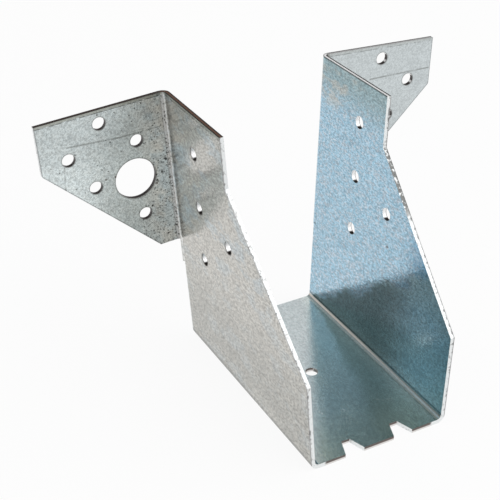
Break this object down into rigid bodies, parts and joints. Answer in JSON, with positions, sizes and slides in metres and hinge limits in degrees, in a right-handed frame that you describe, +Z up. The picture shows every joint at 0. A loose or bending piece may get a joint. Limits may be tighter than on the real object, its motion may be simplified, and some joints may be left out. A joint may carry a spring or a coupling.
{
  "type": "beam hanger",
  "caption": "One folded sheet: a long seat between two sloping side walls, with a drilled flange turned out from the top of each wall.",
  "frame": {"origin": "middle of the base: on the centre line, halfway from the header's face to the front edge, at the underside of the seat", "axes": "+Z up, +Y out through the flanges towards the header, +X along the header. The beam runs towards -Y."},
  "size_m": [0.1506, 0.088, 0.0973],
  "materials": {
    "galvanised_steel": "galvanised, slightly mottled, with bare cut edges"
  },
  "bodies": {
    "root": {"folded_hanger": "galvanised_steel"}
  },
  "joints": []
}
